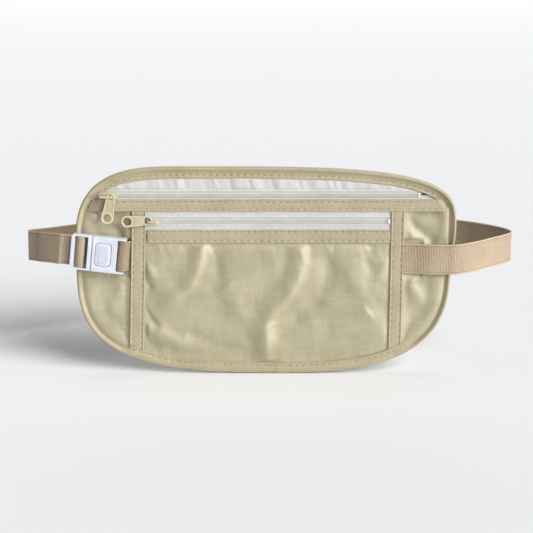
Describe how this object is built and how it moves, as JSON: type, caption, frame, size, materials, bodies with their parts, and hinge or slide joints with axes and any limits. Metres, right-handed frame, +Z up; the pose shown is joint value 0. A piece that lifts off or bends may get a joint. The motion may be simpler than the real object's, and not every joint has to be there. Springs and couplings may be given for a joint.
{
  "type": "money belt",
  "caption": "Slim rounded travel waist pouch with stacked zipped pockets, bound edges and an elastic strap closed by a small side-release plate buckle.",
  "frame": {"origin": "centre of the pouch's flat wearer-side face, halfway across and halfway up the bound outline", "axes": "+Z up as worn, -Y out through the zipped front, +Y towards the wearer, +X along the belt to the right as seen from the front"},
  "size_m": [0.3748, 0.1176, 0.16],
  "materials": {
    "khaki_fabric": "satin plain weave",
    "binding_tape": "folded bias tape",
    "zip_tape": "white woven tape",
    "zip_coil": "off-white nylon coil",
    "painted_slider": "satin beige paint",
    "white_plastic": "smooth moulded white",
    "webbing": "ribbed elastic webbing"
  },
  "bodies": {
    "pouch": {"back_panel": "khaki_fabric", "front_body_panel": "khaki_fabric", "front_pocket_panel": "khaki_fabric", "edge_binding": "binding_tape", "upper_facing_strip": "binding_tape", "lower_facing_strip": "binding_tape", "left_side_tape": "binding_tape", "right_side_tape": "binding_tape", "upper_zip_tape_top": "zip_tape", "upper_zip_tape_bottom": "zip_tape", "lower_zip_tape_top": "zip_tape", "lower_zip_tape_bottom": "zip_tape", "upper_coil_top": "zip_coil", "upper_coil_bottom": "zip_coil", "lower_coil_top": "zip_coil", "lower_coil_bottom": "zip_coil", "upper_end_stop": "zip_coil", "lower_end_stop": "zip_coil", "buckle_socket": "white_plastic", "short_webbing": "webbing", "strap_right": "webbing"},
    "upper_slider": {"upper_slider_body": "painted_slider", "upper_slider_crown": "painted_slider"},
    "upper_pull": {"upper_pull_tab": "painted_slider"},
    "lower_slider": {"lower_slider_body": "painted_slider", "lower_slider_crown": "painted_slider"},
    "lower_pull": {"lower_pull_tab": "painted_slider"},
    "buckle_plug": {"buckle_plug": "white_plastic", "strap_left": "webbing"},
    "release_button": {"release_button": "white_plastic"}
  },
  "joints": [
    {"name": "upper_slider_travel", "type": "slide", "parent": "pouch", "child": "upper_slider", "axis": [1, 0, 0], "range_m": [0, 0.219]},
    {"name": "upper_pull_swing", "type": "hinge", "parent": "upper_slider", "child": "upper_pull", "pos_m": [-0.11375, -0.01045, 0.0585], "axis": [0, -1, 0], "range_deg": [-25, 100]},
    {"name": "lower_slider_travel", "type": "slide", "parent": "pouch", "child": "lower_slider", "axis": [1, 0, 0], "range_m": [0, 0.168]},
    {"name": "lower_pull_flip", "type": "hinge", "parent": "lower_slider", "child": "lower_pull", "pos_m": [-0.0846, -0.00825, 0.0394], "axis": [0, 0, 1], "range_deg": [0, 168]},
    {"name": "buckle_pull_out", "type": "slide", "parent": "pouch", "child": "buckle_plug", "axis": [-0.9936, 0, 0.1132], "range_m": [0, 0.025]},
    {"name": "release_press", "type": "slide", "parent": "pouch", "child": "release_button", "axis": [0, 1, 0], "range_m": [0, 0.001], "stiffness_N_per_m": 600}
  ]
}
